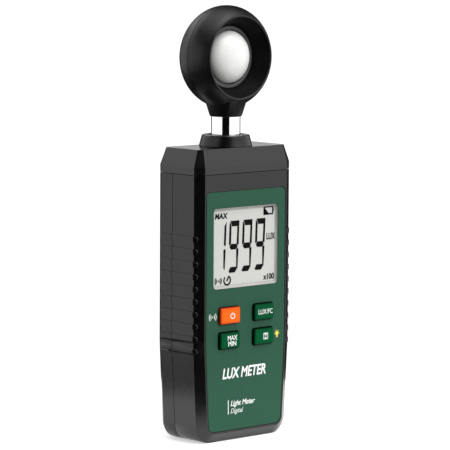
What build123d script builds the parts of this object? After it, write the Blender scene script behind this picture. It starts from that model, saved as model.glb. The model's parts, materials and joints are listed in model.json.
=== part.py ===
from build123d import *

import os
from math import acos, asin, cos, pi, sin, sqrt

# A handheld light meter: a tall moulded case with a display and four keys, and a round
# sensor head that swivels on a chromed neck.
#
# Millimetres. +Z is up, the front face looks towards -Y, and the origin is the centre of
# the flat base that the case stands on. Radii are named ..._r and thicknesses ..._t.

# ---------------------------------------------------------------- driving dimensions
case_width = 63.8
case_depth = 30.8
case_height = 145.0
wall = 2.1
front_bevel = (4.5, 3.12)  # legs of the bevel round the front face: along the face, along the side
back_bevel = (2.46, 3.55)  # and round the back face
taper_height = 48.0  # the sides draw in below this height
base_draw = 2.5  # how far each side has drawn in at the base
base_corner_r = 9.0
taper_blend_r = 150.0
seam_y = 3.4  # the front and rear shells part here
cap_z = 132.7  # the end cap parts from the shells here
cap_bend_z = 136.5  # the end cap leans in above this height
cap_draw_x = 3.0
cap_draw_y = 2.4
cap_top_bevel_share = 0.54  # the bevels have narrowed to this share at the top of the end cap
far = 250.0  # further than any part of the meter reaches
shadow_gap = 0.3  # the dark line where two mouldings meet
fit = 0.1  # clearance between pieces that are pushed together

rib_count = 10
rib_top_z = 101.6
rib_pitch = 6.14
rib_height = 2.8
rib_reach = 13.5  # how far each way along Y a rib runs
rib_proud = 0.5
rib_end_proud = 0.2  # a rib stands out less where its end crosses the bevel

label_t = 0.8
label_gap = 0.4  # groove left open round the label
label_inset = 5.6
label_low_z = 5.8
label_high_z = 124.1
label_top_r = 2.3

display_width = 43.4
display_height = 40.0
display_z = 96.1
display_corner_r = 2.2
window_width = 47.0
window_height = 42.6
window_y = -13.25  # front of the clear window's flange
window_face_y = -14.4  # front of the window's raised middle
glass_back_y = -10.4

key_width = 13.3
key_height = 8.1
key_x = 11.4
key_rows = (62.9, 50.6)
key_proud = 1.7
key_travel = 0.8
key_gap = 0.4
key_edge_r = 0.45
key_flange_y = -13.2
key_post_r = 1.8
plunger_r = 1.6
plunger_y = -11.4
plunger_length = 2.1
switch_width = 6.0
switch_height = 3.0

board_t = 1.6
board_y = -7.2  # front of the main board
board_back_y = board_y + board_t
board_low_z = 23.5
board_high_z = 124.5

board_width = 54.0
board_corner_r = 3.0
board_chip_table = [  # width, height, thickness, x, z
    (12, 12, 1.5, -12, 60), (7, 7, 1.2, 8, 66), (5, 4, 1.6, 16, 52), (8, 3.6, 2.2, -18, 42),
    (3, 1.6, 1.0, 2, 50), (3, 1.6, 1.0, 2, 54), (3, 1.6, 1.0, -2, 72), (4, 4, 2.6, 20, 38),
]
module_x = 14.0  # wireless module
module_z = 100.0
module_board_t = 0.8
module_can_t = 1.8
led_x = 20.5
led_spread = 8.0  # each backlight lamp is this far above or below the display's middle

cell_r = 5.25  # AAA cells
cell_length = 43.5
cell_pitch = 11.0
cell_y = 6.9
cell_nub = 1.0
contact_t = 0.4
contact_near_x = 5.8
contact_far_x = 16.4
spring_wire_r = 0.35
spring_r = 2.9
spring_turns = 4

door_width = 40.8
door_low_z = 28.3
door_high_z = 93.2
door_t = 2.0
door_screw_r = 1.25
door_screw_head_r = 2.3
door_screw_head_t = 1.1
door_screw_tip_y = 9.6
door_seat_y = 13.95
tongue_x = 11.0
tongue_y = 11.9
tongue_drop = 2.9

tripod_z = 104.5
tripod_bore_r = 2.6  # minor radius of a 1/4-20 thread
tripod_bore_depth = 8.0

neck_r = 7.25
neck_bore_r = 6.2
collar_low_r = 13.2
collar_high_r = 11.9
collar_high_z = 150.6
head_collar_z = 159.6
head_collar_low_r = 7.9
head_collar_high_z = 169.0
head_collar_high_r = 10.9
head_collar_edge_r = 0.5

head_z = 188.9  # height of the head's centre
head_r = 25.45
head_back = 19.7  # depth of the head behind the neck axis
head_front_curve = 18.7  # the front follows an ellipse of this depth ...
head_rim_y = 10.25  # ... cut off here by the bowl's rim
head_wall = 2.0
bowl_rim_r = 19.7
rim_edge = 0.6  # bevel on the bowl's lip
dome_r = 13.0
bowl_floor_y = 1.8
bowl_floor_t = 1.6
bowl_floor_r = 15.3
dome_front = 7.6  # how far in front of the neck axis the dome reaches
dome_wall = 1.2
dome_flange_r = 14.4
head_boss_r = 2.4
head_screw_r = 0.9
head_screw_head_r = 1.8
head_screw_head_t = 1.3
head_screw_tip_y = -5.2
head_screw_seat_y = 7.0
head_screw_x = 14.35  # each screw is this far across from the head's centre, and as far above or below
sensor_board_y = 1.9
sensor_board_t = 1.6
sensor_board_flat = 14.4  # the board is cut straight this far below its centre, clear of the neck
sensor_board_r = 16.9
sensor_post_r = 1.1
sensor_screw_r = 0.6
sensor_screw_depth = 1.8
sensor_screw_head_r = 1.2
sensor_screw_head_t = 0.8
sensor_screw_circle_r = 15.6

tongue_inset = 1.1  # the front shell's tongue lies this far inside the case's outer surface
tongue_reach = 1.2
key_corner_r = 1.0
board_post_r = 2.3
board_screw_r = 0.9
board_screw_head_r = 1.7
board_screw_head_t = 1.1
board_screw_depth = 4.0
screw_boss_r = 3.2
low_boss_y = 0.8  # the lower bosses of the two shells meet here
skirt_t = 1.3  # the end cap's skirt inside the shells
skirt_depth = 2.0
lug_inner_x = 20.3
lug_outer_x = 26.7
lug_low_z = 122.8
lug_t = 4.0  # the end cap's lugs, held between the shells' upper bosses
case_screw_r = 1.25
case_screw_head_r = 2.4
case_screw_head_t = 1.7
case_screw_seat_y = 12.2
case_screw_tip_y = -8.0

tray_half = 17.0  # half the width inside the battery tray
tray_wall = 1.4
tray_floor_y = 0.1
ledge_low_z = 32.6
tray_low_z = 29.6
tray_high_z = 83.6
tray_rim_y = 10.4  # the low end wall stops here, clear of the door's tongues
ledge_y = 11.7
door_gap = 0.2
door_corner_r = 2.5
door_screw_z = 88.6
door_boss_r = 3.4
door_insert_r = 2.3
door_insert_length = 3.4
tripod_boss_r = 6.8
tripod_boss_length = 8.2
tripod_insert_r = 4.7
tripod_insert_length = 9.0

spigot_r = 9.0  # the collar's spigot goes down through the end cap
spigot_low_z = 138.0
cap_boss_r = 11.6
lead_r = 1.4
lead_split_z = 132.0  # the lead twists here as the head swivels
bush_r = 8.2
bush_clearance = 0.06
neck_low_z = 133.4
neck_high_z = 167.6
neck_flange_r = 8.5
neck_flange_t = 1.4
neck_groove_r = 6.8
clip_z = 136.5
clip_t = 0.9
stop_low_z = 133.6
stop_pin_z = 135.0
stop_pin_r = 0.8
stop_pin_reach = 10.6
stop_half_angle = 37.0

front_y = -case_depth / 2
back_y = case_depth / 2
inner_front_y = front_y + wall
inner_back_y = back_y - wall
half_gap = shadow_gap / 2
head_axis = Axis((0, 0, head_z), (0, 1, 0))


# ---------------------------------------------------------------- shared shapes
def bevelled(legs, inset, bevel_inset):
    """A bevel's legs once its two faces have moved in by inset and the bevel itself by bevel_inset."""
    one, two = legs
    kept = 1 - inset * (1 / one + 1 / two) + bevel_inset * sqrt(1 / one**2 + 1 / two**2)
    return one * kept, two * kept


def case_outline(y, inset, low, high, top_r=0.0):
    """Sketch at depth y: the case seen from the front, drawn in by inset, from low to high."""
    half = case_width / 2 - inset
    draw = base_draw * (taper_height - low) / taper_height
    with BuildSketch(Plane.XZ.offset(-y), mode=Mode.PRIVATE) as outline:
        with BuildLine():
            Polyline(
                (-half, high),
                (-half, taper_height),
                (draw - half, low),
                (half - draw, low),
                (half, taper_height),
                (half, high),
                close=True,
            )
        make_face()
        fillet(outline.vertices().group_by(Axis.Y)[0], base_corner_r - inset)
        bends = outline.vertices().filter_by_position(Axis.Y, taper_height - 1, taper_height + 1)
        fillet(bends, taper_blend_r)
        if top_r:
            fillet(outline.vertices().group_by(Axis.Y)[-1], top_r)
    return outline.sketch


def case_form(inset, bevel_inset=None):
    """The case below the end cap as one solid, drawn in by inset on every side but its top."""
    depth = case_depth - 2 * inset
    with BuildPart(mode=Mode.PRIVATE) as form:
        extrude(case_outline(depth / 2, inset, inset, cap_z), amount=depth, dir=(0, -1, 0))
        for end, legs in ((0, front_bevel), (-1, back_bevel)):
            face = form.faces().filter_by(Axis.Y).sort_by(Axis.Y)[end]
            along_face, along_side = bevelled(legs, inset, inset if bevel_inset is None else bevel_inset)
            chamfer(face.edges().sort_by(Axis.Z)[:-1], along_face, along_side, reference=face)
    return form.part


def bevelled_rectangle(width, depth, inset, share, z):
    """Sketch at height z: a rectangle whose corners are bevelled as the case's are."""
    x, y = width / 2, depth / 2
    front_x, front_y_leg = bevelled([share * leg for leg in front_bevel], inset, inset)
    back_x, back_y_leg = bevelled([share * leg for leg in back_bevel], inset, inset)
    right_side = [(x - front_x, -y), (x, front_y_leg - y), (x, y - back_y_leg), (x - back_x, y)]
    left_side = [(-px, py) for px, py in reversed(right_side)]
    with BuildSketch(Plane.XY.offset(z), mode=Mode.PRIVATE) as outline:
        with BuildLine():
            Polyline(*right_side, *left_side, close=True)
        make_face()
    return outline.sketch


def cap_form(inset, low, high):
    """The end cap as one solid, drawn in by inset, from low to high."""
    width, depth = case_width - 2 * inset, case_depth - 2 * inset
    lean = (high - cap_bend_z) / (case_height - cap_bend_z)
    top_width, top_depth = width - 2 * cap_draw_x * lean, depth - 2 * cap_draw_y * lean
    top_share = 1 - (1 - cap_top_bevel_share) * lean
    with BuildPart(mode=Mode.PRIVATE) as form:
        extrude(bevelled_rectangle(width, depth, inset, 1.0, low), amount=cap_bend_z - low)
        add(bevelled_rectangle(width, depth, inset, 1.0, cap_bend_z))
        add(bevelled_rectangle(top_width, top_depth, inset, top_share, high))
        loft()
    return form.part


def rod(radius, low_y, high_y, x=0.0, z=0.0):
    """A cylinder along Y."""
    with BuildPart(mode=Mode.PRIVATE) as made:
        with BuildSketch(Plane.XZ.offset(-high_y)):
            with Locations((x, z)):
                Circle(radius)
        extrude(amount=high_y - low_y)
    return made.part


def plate(width, height, low_y, high_y, x=0.0, z=0.0, corner_r=0.4):
    """A plate with rounded corners that faces along Y."""
    with BuildPart(mode=Mode.PRIVATE) as made:
        with BuildSketch(Plane.XZ.offset(-high_y)):
            with Locations((x, z)):
                RectangleRounded(width, height, corner_r)
        extrude(amount=high_y - low_y)
    return made.part


def ring_z(outer_r, inner_r, low_z, high_z):
    """A flat ring about the neck axis."""
    with BuildPart(mode=Mode.PRIVATE) as made:
        with BuildSketch(Plane.XY.offset(low_z)):
            Circle(outer_r)
            Circle(inner_r, mode=Mode.SUBTRACT)
        extrude(amount=high_z - low_z)
    return made.part


def block(low, high):
    """A box between two corners."""
    size = [b - a for a, b in zip(low, high)]
    middle = tuple((a + b) / 2 for a, b in zip(low, high))
    with BuildPart(mode=Mode.PRIVATE) as made:
        with Locations(middle):
            Box(*size)
    return made.part


def between(low_y=-far, high_y=far, low_z=-far, high_z=far):
    """Everything between two depths and two heights."""
    return block((-far, low_y, low_z), (far, high_y, high_z))


def cross_screw(head_radius, head_height, shank_radius, seat_y, tip_y, x, z):
    """A pan-head screw with a cross recess, driven towards -Y."""
    with BuildPart(mode=Mode.PRIVATE) as screw:
        add(rod(head_radius, seat_y, seat_y + head_height, x, z))
        fillet(screw.edges().sort_by(Axis.Y)[-1], head_height * 0.35)
        add(rod(shank_radius, tip_y, seat_y, x, z))
        chamfer(screw.edges().sort_by(Axis.Y)[0], shank_radius * 0.4)
        with BuildSketch(Plane.XZ.offset(-seat_y - head_height)):
            with Locations((x, z)):
                Rectangle(head_radius * 1.2, head_radius * 0.26)
                Rectangle(head_radius * 0.26, head_radius * 1.2)
        extrude(amount=-head_height * 0.6, mode=Mode.SUBTRACT)
    return screw.part


def ellipsoid(radius, depth):
    """A solid of revolution about the head's own axis: radius across it, depth along it."""
    with BuildPart(mode=Mode.PRIVATE) as form:
        with BuildSketch(Plane.YZ):
            with Locations((0, head_z)):
                Ellipse(depth, radius)
                Rectangle(2 * depth, radius, align=(Align.CENTER, Align.MAX), mode=Mode.SUBTRACT)
        revolve(axis=head_axis)
    return form.part


def turned(*points):
    """A ring turned about the head's axis from (y, radius) points."""
    with BuildPart(mode=Mode.PRIVATE) as form:
        with BuildSketch(Plane.YZ):
            with BuildLine():
                Polyline(*[(y, head_z + r) for y, r in points], close=True)
            make_face()
        revolve(axis=head_axis)
    return form.part


def save(made, name):
    """Labels a finished sub-part and writes its STEP file."""
    made.part.label = name
    export_step(made.part, f"parts/{name}.step")


os.makedirs("parts", exist_ok=True)

key_places = {
    "power": (-key_x, key_rows[0]),
    "unit": (key_x, key_rows[0]),
    "max_min": (-key_x, key_rows[1]),
    "hold": (key_x, key_rows[1]),
}
case_screw_top = [(side * 23.5, 126.0) for side in (-1, 1)]
case_screw_low = [(side * 21.8, 13.8) for side in (-1, 1)]
board_screw_places = [(side * x, z) for x, z in ((17, 121.2), (24.3, 70.3), (24.3, 28)) for side in (-1, 1)]

head_screw_places = [
    (x, head_z + rise) for x in (-head_screw_x, head_screw_x) for rise in (-head_screw_x, head_screw_x)
]
sensor_screw_places = [
    (sensor_screw_circle_r * sin(k * 2 * pi / 3), head_z + sensor_screw_circle_r * cos(k * 2 * pi / 3))
    for k in range(3)
]
cell_places = [(-cell_pitch, True), (0, False), (cell_pitch, True)]  # x, and whether the nub is up

outer_case = case_form(0)
cavity = case_form(wall)
case_front_half = between(high_y=seam_y - half_gap)
case_rear_half = between(low_y=seam_y + half_gap)

# ---------------------------------------------------------------- ribs on the sides
with BuildPart() as ribs:
    with BuildSketch(Plane.YZ):
        with Locations(*[(0, rib_top_z - k * rib_pitch) for k in range(rib_count)]):
            SlotOverall(2 * rib_reach, rib_height)
    extrude(amount=case_width, both=True)
    add(case_form(-rib_proud, -rib_end_proud), mode=Mode.INTERSECT)
    add(case_form(wall / 2), mode=Mode.SUBTRACT)

# ---------------------------------------------------------------- tongue along the seam
with BuildPart() as tongue:
    add(case_form(tongue_inset))
    add(cavity, mode=Mode.SUBTRACT)
    add(between(seam_y - 1, seam_y + tongue_reach), mode=Mode.INTERSECT)

with BuildPart() as tongue_groove:
    add(case_form(tongue_inset - fit))
    add(between(seam_y - 1, seam_y + tongue_reach + fit), mode=Mode.INTERSECT)

# ---------------------------------------------------------------- face label
with BuildPart() as face_label:
    label_outline = case_outline(front_y + label_t, label_inset, label_low_z, label_high_z, label_top_r)
    extrude(label_outline, amount=label_t, dir=(0, -1, 0))
    for places, width, height, corner_r in (
        ([(0, display_z)], display_width, display_height, display_corner_r),
        (key_places.values(), key_width + 2 * key_gap, key_height + 2 * key_gap, key_corner_r + key_gap),
    ):
        with BuildSketch(Plane.XZ.offset(-front_y)):
            with Locations(*places):
                RectangleRounded(width, height, corner_r)
        extrude(amount=-wall, mode=Mode.SUBTRACT)
save(face_label, "face_label")

# ---------------------------------------------------------------- front shell
with BuildPart() as label_recess:
    recess_outline = case_outline(
        front_y + label_t, label_inset - label_gap, label_low_z - label_gap, label_high_z + label_gap,
        label_top_r + label_gap
    )
    extrude(recess_outline, amount=label_t + 1, dir=(0, -1, 0))

with BuildPart() as front_shell:
    add(outer_case)
    add(ribs.part)
    add(cavity, mode=Mode.SUBTRACT)
    add(case_front_half, mode=Mode.INTERSECT)
    add(tongue.part)
    for x, z in case_screw_low:
        add(rod(screw_boss_r, inner_front_y - 0.5, low_boss_y, x, z))
    for x, z in case_screw_top:
        add(rod(screw_boss_r, inner_front_y - 0.5, -lug_t / 2 - fit, x, z))
    for x, z in board_screw_places:
        add(rod(board_post_r, inner_front_y - 0.5, board_y, x, z))
    for x, z in case_screw_low + case_screw_top:
        add(rod(case_screw_r + 0.02, case_screw_tip_y - 0.6, seam_y, x, z), mode=Mode.SUBTRACT)
    for x, z in board_screw_places:
        add(rod(board_screw_r + 0.02, board_y - board_screw_depth - 0.3, board_y, x, z), mode=Mode.SUBTRACT)
    add(label_recess.part, mode=Mode.SUBTRACT)
    with BuildSketch(Plane.XZ.offset(-front_y)):
        with Locations((0, display_z)):
            RectangleRounded(display_width, display_height, display_corner_r)
        with Locations(*key_places.values()):
            RectangleRounded(key_width + 2 * key_gap, key_height + 2 * key_gap, key_corner_r + key_gap)
    extrude(amount=-wall * 1.3, mode=Mode.SUBTRACT)
    add(between(low_z=cap_z - half_gap), mode=Mode.SUBTRACT)
save(front_shell, "front_shell")

# ---------------------------------------------------------------- rear shell
with BuildPart() as rear_shell:
    add(outer_case)
    add(ribs.part)
    add(cavity, mode=Mode.SUBTRACT)
    add(case_rear_half, mode=Mode.INTERSECT)
    add(tongue_groove.part, mode=Mode.SUBTRACT)
    for x, z in case_screw_low:
        add(rod(screw_boss_r + 0.4, low_boss_y + fit, inner_back_y + 0.5, x, z))
    for x, z in case_screw_top:
        add(rod(screw_boss_r + 0.4, lug_t / 2 + fit, inner_back_y + 0.5, x, z))
    # Battery tray, with a ledge round three sides for the door to lie on.
    tray_side = tray_half + tray_wall
    add(block((-tray_side, tray_floor_y, tray_low_z - tray_wall), (tray_side, tray_rim_y, tray_high_z)))
    add(block((-tray_side, tray_floor_y, ledge_low_z), (tray_side, ledge_y + 0.3, tray_high_z + tray_wall)))
    ledge_side = door_width / 2 + 2
    add(block((-ledge_side, ledge_y, ledge_low_z), (ledge_side, inner_back_y + 0.3, door_high_z + 2)))
    add(rod(door_boss_r, ledge_y - door_insert_length - 1.2, ledge_y + 0.3, 0, door_screw_z))
    add(rod(tripod_boss_r, inner_back_y - tripod_boss_length, inner_back_y + 0.5, 0, tripod_z))
    # Room for the cells, the door and the door's tongues.
    add(block((-tray_half, tray_floor_y + tray_wall, tray_low_z), (tray_half, case_depth, tray_high_z)),
        mode=Mode.SUBTRACT)
    door_height = door_high_z - door_low_z
    door_opening = plate(door_width + 2 * door_gap, door_height + 2 * door_gap, inner_back_y, case_depth,
                         0, door_low_z + door_height / 2, door_corner_r + door_gap)
    add(door_opening, mode=Mode.SUBTRACT)
    # Bores for the screws and inserts.
    for x, z in case_screw_low + case_screw_top:
        add(rod(case_screw_r + 0.25, -5, case_depth, x, z), mode=Mode.SUBTRACT)
        add(rod(case_screw_head_r + 0.3, case_screw_seat_y, case_depth, x, z), mode=Mode.SUBTRACT)
    add(rod(door_insert_r, ledge_y - door_insert_length, case_depth, 0, door_screw_z), mode=Mode.SUBTRACT)
    add(rod(tripod_insert_r, back_y - tripod_insert_length - fit, case_depth, 0, tripod_z), mode=Mode.SUBTRACT)
    add(between(low_z=cap_z - half_gap), mode=Mode.SUBTRACT)
save(rear_shell, "rear_shell")

# ---------------------------------------------------------------- end cap
with BuildPart() as top_cap:
    add(cap_form(0, cap_z + half_gap, case_height))
    add(cap_form(wall, cap_z - 1, case_height - wall), mode=Mode.SUBTRACT)
    # Skirt inside the shells.
    for inset, mode in ((wall + fit, Mode.ADD), (wall + skirt_t, Mode.SUBTRACT)):
        width, depth = case_width - 2 * inset, case_depth - 2 * inset
        skirt_outline = bevelled_rectangle(width, depth, inset, 1.0, cap_z - skirt_depth)
        extrude(skirt_outline, amount=skirt_depth + 2.5, mode=mode)
    # Boss round the neck's hole, with a stop behind it for the swivel.
    add(ring_z(cap_boss_r, spigot_r + 0.05, spigot_low_z, case_height - wall + 0.3))
    with BuildSketch(Plane.XY.offset(stop_low_z)):
        with BuildLine():
            stop_arc = CenterArc((0, 0), cap_boss_r, 90 - stop_half_angle, 2 * stop_half_angle)
            inner_arc = CenterArc((0, 0), spigot_r + 0.05, 90 - stop_half_angle, 2 * stop_half_angle)
            Line(stop_arc @ 0, inner_arc @ 0)
            Line(stop_arc @ 1, inner_arc @ 1)
        make_face()
    extrude(amount=spigot_low_z - stop_low_z + 0.3)
    # Lugs for the upper case screws.
    for side in (-1, 1):
        for outer_x, low, high in ((lug_outer_x, lug_low_z, cap_z + 1),
                                   (case_width / 2 - wall + 0.3, cap_z + 0.8, cap_z + 4)):
            ends = sorted((side * lug_inner_x, side * outer_x))
            add(block((ends[0], -lug_t / 2, low), (ends[1], lug_t / 2, high)))
    for x, z in case_screw_top:
        add(rod(case_screw_r + 0.25, -5, 5, x, z), mode=Mode.SUBTRACT)
    with BuildSketch(Plane.XY.offset(case_height - 6)):
        Circle(spigot_r + 0.05)
    extrude(amount=10, mode=Mode.SUBTRACT)
save(top_cap, "top_cap")

# ---------------------------------------------------------------- neck collar, bush and washer
with BuildPart() as neck_collar:
    with BuildSketch(Plane.XY.offset(case_height + 0.05)):
        Circle(collar_low_r)
    with BuildSketch(Plane.XY.offset(collar_high_z)):
        Circle(collar_high_r)
    loft()
    fillet(neck_collar.edges().sort_by(Axis.Z)[-1], 0.7)
    add(ring_z(spigot_r, bush_r + 0.02, spigot_low_z, case_height + 1))
    with BuildSketch(Plane.XY.offset(spigot_low_z)):
        Circle(bush_r + 0.02)
    extrude(amount=20, mode=Mode.SUBTRACT)
save(neck_collar, "neck_collar")

with BuildPart() as swivel_bush:
    add(ring_z(bush_r, neck_r + bush_clearance, spigot_low_z, collar_high_z - 0.4))
save(swivel_bush, "swivel_bush")

with BuildPart() as wave_washer:
    add(ring_z(spigot_r - 0.2, neck_r + 0.1, spigot_low_z - 0.45, spigot_low_z - 0.05))
save(wave_washer, "wave_washer")

# ---------------------------------------------------------------- neck, clip and stop pin
with BuildPart() as neck_tube:
    add(ring_z(neck_r, neck_bore_r, neck_low_z, neck_high_z))
    add(ring_z(neck_flange_r, neck_bore_r, neck_high_z - neck_flange_t, neck_high_z))
    add(ring_z(neck_r + 1, neck_groove_r, clip_z, clip_z + clip_t), mode=Mode.SUBTRACT)
    add(rod(stop_pin_r, -neck_r - 1, 0, 0, stop_pin_z), mode=Mode.SUBTRACT)
save(neck_tube, "neck_tube")

with BuildPart() as neck_clip:
    add(ring_z(neck_r + 1.5, neck_groove_r + 0.05, clip_z + 0.05, clip_z + clip_t - 0.05))
    add(block((-1.4, 0, clip_z - 1), (1.4, 20, clip_z + 2)), mode=Mode.SUBTRACT)
save(neck_clip, "neck_clip")

with BuildPart() as stop_pin:
    add(rod(stop_pin_r - 0.02, -stop_pin_reach, -neck_bore_r + 0.6, 0, stop_pin_z))
    chamfer(stop_pin.edges().sort_by(Axis.Y)[0], 0.25)
save(stop_pin, "stop_pin")

# ---------------------------------------------------------------- display stack
with BuildPart() as display_window:
    add(plate(window_width, window_height, window_y, window_y + 1.0, 0, display_z, 1.5))
    add(plate(display_width - 2 * fit, display_height - 2 * fit, window_face_y, window_y, 0, display_z,
              display_corner_r - fit))
save(display_window, "display_window")

with BuildPart() as display_glass:
    add(plate(window_width - 2, window_height - 1.2, window_y + 1.05, glass_back_y, 0, display_z))
save(display_glass, "display_glass")

with BuildPart() as display_frame:
    add(plate(window_width + 2.6, window_height + 2.4, window_y + 0.05, board_y, 0, display_z, 1.6))
    add(plate(window_width + 0.2, window_height + 0.2, window_y, board_y, 0, display_z, 1.6),
        mode=Mode.SUBTRACT)
save(display_frame, "display_frame")

with BuildPart() as backlight_panel:
    add(plate(window_width - 3, window_height - 8, glass_back_y + 0.05, glass_back_y + 1.1, 0, display_z))
save(backlight_panel, "backlight_panel")

with BuildPart() as zebra_strips:
    for side in (-1, 1):
        z = display_z + side * (window_height / 2 - 2.2)
        add(plate(window_width - 5, 1.8, glass_back_y, board_y, 0, z))
save(zebra_strips, "zebra_strips")

# ---------------------------------------------------------------- main board and what is on it
with BuildPart() as main_board:
    board_middle_z = (board_high_z + board_low_z) / 2
    add(plate(board_width, board_high_z - board_low_z, board_y, board_back_y, 0, board_middle_z,
              board_corner_r))
    for x, z in board_screw_places:
        add(rod(board_screw_r + 0.25, board_y - 1, board_back_y + 1, x, z), mode=Mode.SUBTRACT)
    for x, z in case_screw_top:
        add(rod(screw_boss_r + 0.9, board_y - 1, board_back_y + 1, x, z), mode=Mode.SUBTRACT)
save(main_board, "main_board")

with BuildPart() as board_screws:
    for x, z in board_screw_places:
        add(cross_screw(board_screw_head_r, board_screw_head_t, board_screw_r, board_back_y,
                        board_y - board_screw_depth, x, z))
save(board_screws, "board_screws")

with BuildPart() as board_chips:
    for width, height, chip_t, x, z in board_chip_table:
        add(plate(width, height, board_back_y, board_back_y + chip_t, x, z, 0.2))
save(board_chips, "board_chips")

with BuildPart() as wireless_module:
    can_y = board_back_y + module_board_t
    add(plate(16, 22, board_back_y, can_y, module_x, module_z, 0.3))
    add(plate(12, 13, can_y, can_y + module_can_t, module_x, module_z - 3.5, 0.5))
save(wireless_module, "wireless_module")

with BuildPart() as backlight_leds:
    for z in (display_z - led_spread, display_z + led_spread):
        add(plate(1.6, 3.0, glass_back_y + 1.15, board_y, led_x, z, 0.2))
save(backlight_leds, "backlight_leds")

# ---------------------------------------------------------------- keys and their switches
for name, (x, z) in key_places.items():
    with BuildPart() as key:
        add(plate(key_width, key_height, front_y - key_proud, key_flange_y, x, z, key_corner_r))
        fillet(key.faces().sort_by(Axis.Y)[0].edges(), key_edge_r)
        add(plate(key_width + 2, key_height + 2, key_flange_y, key_flange_y + 1, x, z, key_corner_r + 0.5))
        add(rod(key_post_r, key_flange_y + 1, plunger_y, x, z))
    save(key, f"{name}_key")

    with BuildPart() as plunger:
        add(rod(plunger_r, plunger_y, plunger_y + plunger_length, x, z))
    save(plunger, f"{name}_plunger")

with BuildPart() as tact_switches:
    for x, z in key_places.values():
        add(plate(switch_width, switch_width, board_y - switch_height, board_y, x, z))
        socket_y = plunger_y + plunger_length + key_travel + 0.1
        add(rod(plunger_r + fit, board_y - 5, socket_y, x, z), mode=Mode.SUBTRACT)
save(tact_switches, "tact_switches")

# ---------------------------------------------------------------- cells and contacts
with BuildPart() as battery_cells:
    for x, up in cell_places:
        low = tray_high_z - 0.5 - cell_nub - cell_length if up else tray_low_z + 0.5 + cell_nub
        nub_z = low + cell_length if up else low - cell_nub
        for radius, bottom, length in ((cell_r, low, cell_length), (1.9, nub_z, cell_nub)):
            with BuildSketch(Plane.XY.offset(bottom)):
                with Locations((x, cell_y)):
                    Circle(radius)
            extrude(amount=length)
save(battery_cells, "battery_cells")

with BuildPart() as contact_plates:
    # At each end one plate joins two cells and the other serves the third.
    low_plate_z, high_plate_z = tray_low_z + 0.05, tray_high_z - 0.05 - contact_t
    for low_x, high_x, z in (
        (-contact_far_x, 0.0, low_plate_z), (contact_near_x, contact_far_x, low_plate_z),
        (-contact_far_x, -contact_near_x, high_plate_z), (0.0, contact_far_x, high_plate_z),
    ):
        add(block((low_x, tray_floor_y + tray_wall + 0.1, z), (high_x, tray_rim_y - 0.2, z + contact_t)))
save(contact_plates, "contact_plates")

spring_height = tray_high_z - tray_low_z - 1.0 - cell_nub - cell_length
with BuildPart() as contact_springs:
    for x, up in cell_places:
        low = tray_low_z + 0.5 if up else tray_high_z - 0.5 - spring_height
        with BuildLine(Plane((x, cell_y, low + spring_wire_r + 0.1))) as coil:
            Helix(pitch=(spring_height - 2 * spring_wire_r - 0.2) / spring_turns,
                  height=spring_height - 2 * spring_wire_r - 0.2, radius=spring_r)
        with BuildSketch(Plane(origin=coil.line @ 0, z_dir=coil.line % 0)):
            Circle(spring_wire_r)
        sweep(path=coil.line)
save(contact_springs, "contact_springs")

with BuildPart() as battery_leads:
    for x in (-13, 13):
        add(rod(0.6, board_back_y, tray_floor_y - 0.05, x, 33))
save(battery_leads, "battery_leads")

# ---------------------------------------------------------------- battery door
with BuildPart() as battery_door:
    door_middle_z = (door_high_z + door_low_z) / 2
    add(plate(door_width, door_high_z - door_low_z, back_y - door_t, back_y, 0, door_middle_z, door_corner_r))
    fillet(battery_door.faces().sort_by(Axis.Y)[-1].edges(), 0.4)
    for x in (-tongue_x, tongue_x):
        add(block((x - 4, tongue_y, door_low_z - tongue_drop), (x + 4, tongue_y + 1.3, door_low_z + 1.7)))
        add(block((x - 4, tongue_y + 1, door_low_z + 0.4), (x + 4, back_y - door_t + 0.3, door_low_z + 1.7)))
    # Finger ridges near the screw, and the screw's recess.
    for k in range(4):
        add(plate(12, 0.9, back_y - 0.4, back_y, 0, door_screw_z - 7 - 2.0 * k, 0.4), mode=Mode.SUBTRACT)
    add(rod(door_screw_head_r + 0.2, door_seat_y, back_y + 1, 0, door_screw_z), mode=Mode.SUBTRACT)
    add(rod(door_screw_r + 0.1, 0, back_y + 1, 0, door_screw_z), mode=Mode.SUBTRACT)
save(battery_door, "battery_door")

with BuildPart() as door_pad:
    add(plate(30, 38, back_y - door_t - 1.05, back_y - door_t, 0, 56, 1.5))
save(door_pad, "door_pad")

with BuildPart() as door_screw:
    add(cross_screw(door_screw_head_r, door_screw_head_t, door_screw_r, door_seat_y + 0.02,
                    door_screw_tip_y, 0, door_screw_z))
save(door_screw, "door_screw")

with BuildPart() as door_insert:
    add(rod(door_insert_r - 0.02, ledge_y - door_insert_length, ledge_y - 0.05, 0, door_screw_z))
    add(rod(door_screw_r + 0.4, 0, back_y, 0, door_screw_z), mode=Mode.SUBTRACT)
save(door_insert, "door_insert")

# ---------------------------------------------------------------- case screws and tripod insert
with BuildPart() as case_screws:
    for x, z in case_screw_low + case_screw_top:
        add(cross_screw(case_screw_head_r, case_screw_head_t, case_screw_r, case_screw_seat_y,
                        case_screw_tip_y, x, z))
save(case_screws, "case_screws")

with BuildPart() as tripod_insert:
    add(rod(tripod_insert_r - 0.02, back_y - tripod_insert_length, back_y, 0, tripod_z))
    add(rod(tripod_bore_r, back_y - tripod_bore_depth, back_y + 1, 0, tripod_z), mode=Mode.SUBTRACT)
save(tripod_insert, "tripod_insert")

# ---------------------------------------------------------------- head shells
# Collar under the head, which both shells share.
with BuildPart() as head_collar:
    with BuildSketch(Plane.XY.offset(head_collar_z)):
        Circle(head_collar_low_r)
    with BuildSketch(Plane.XY.offset(head_collar_high_z)):
        Circle(head_collar_high_r)
    loft()
    fillet(head_collar.edges().sort_by(Axis.Z)[0], head_collar_edge_r)

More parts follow.
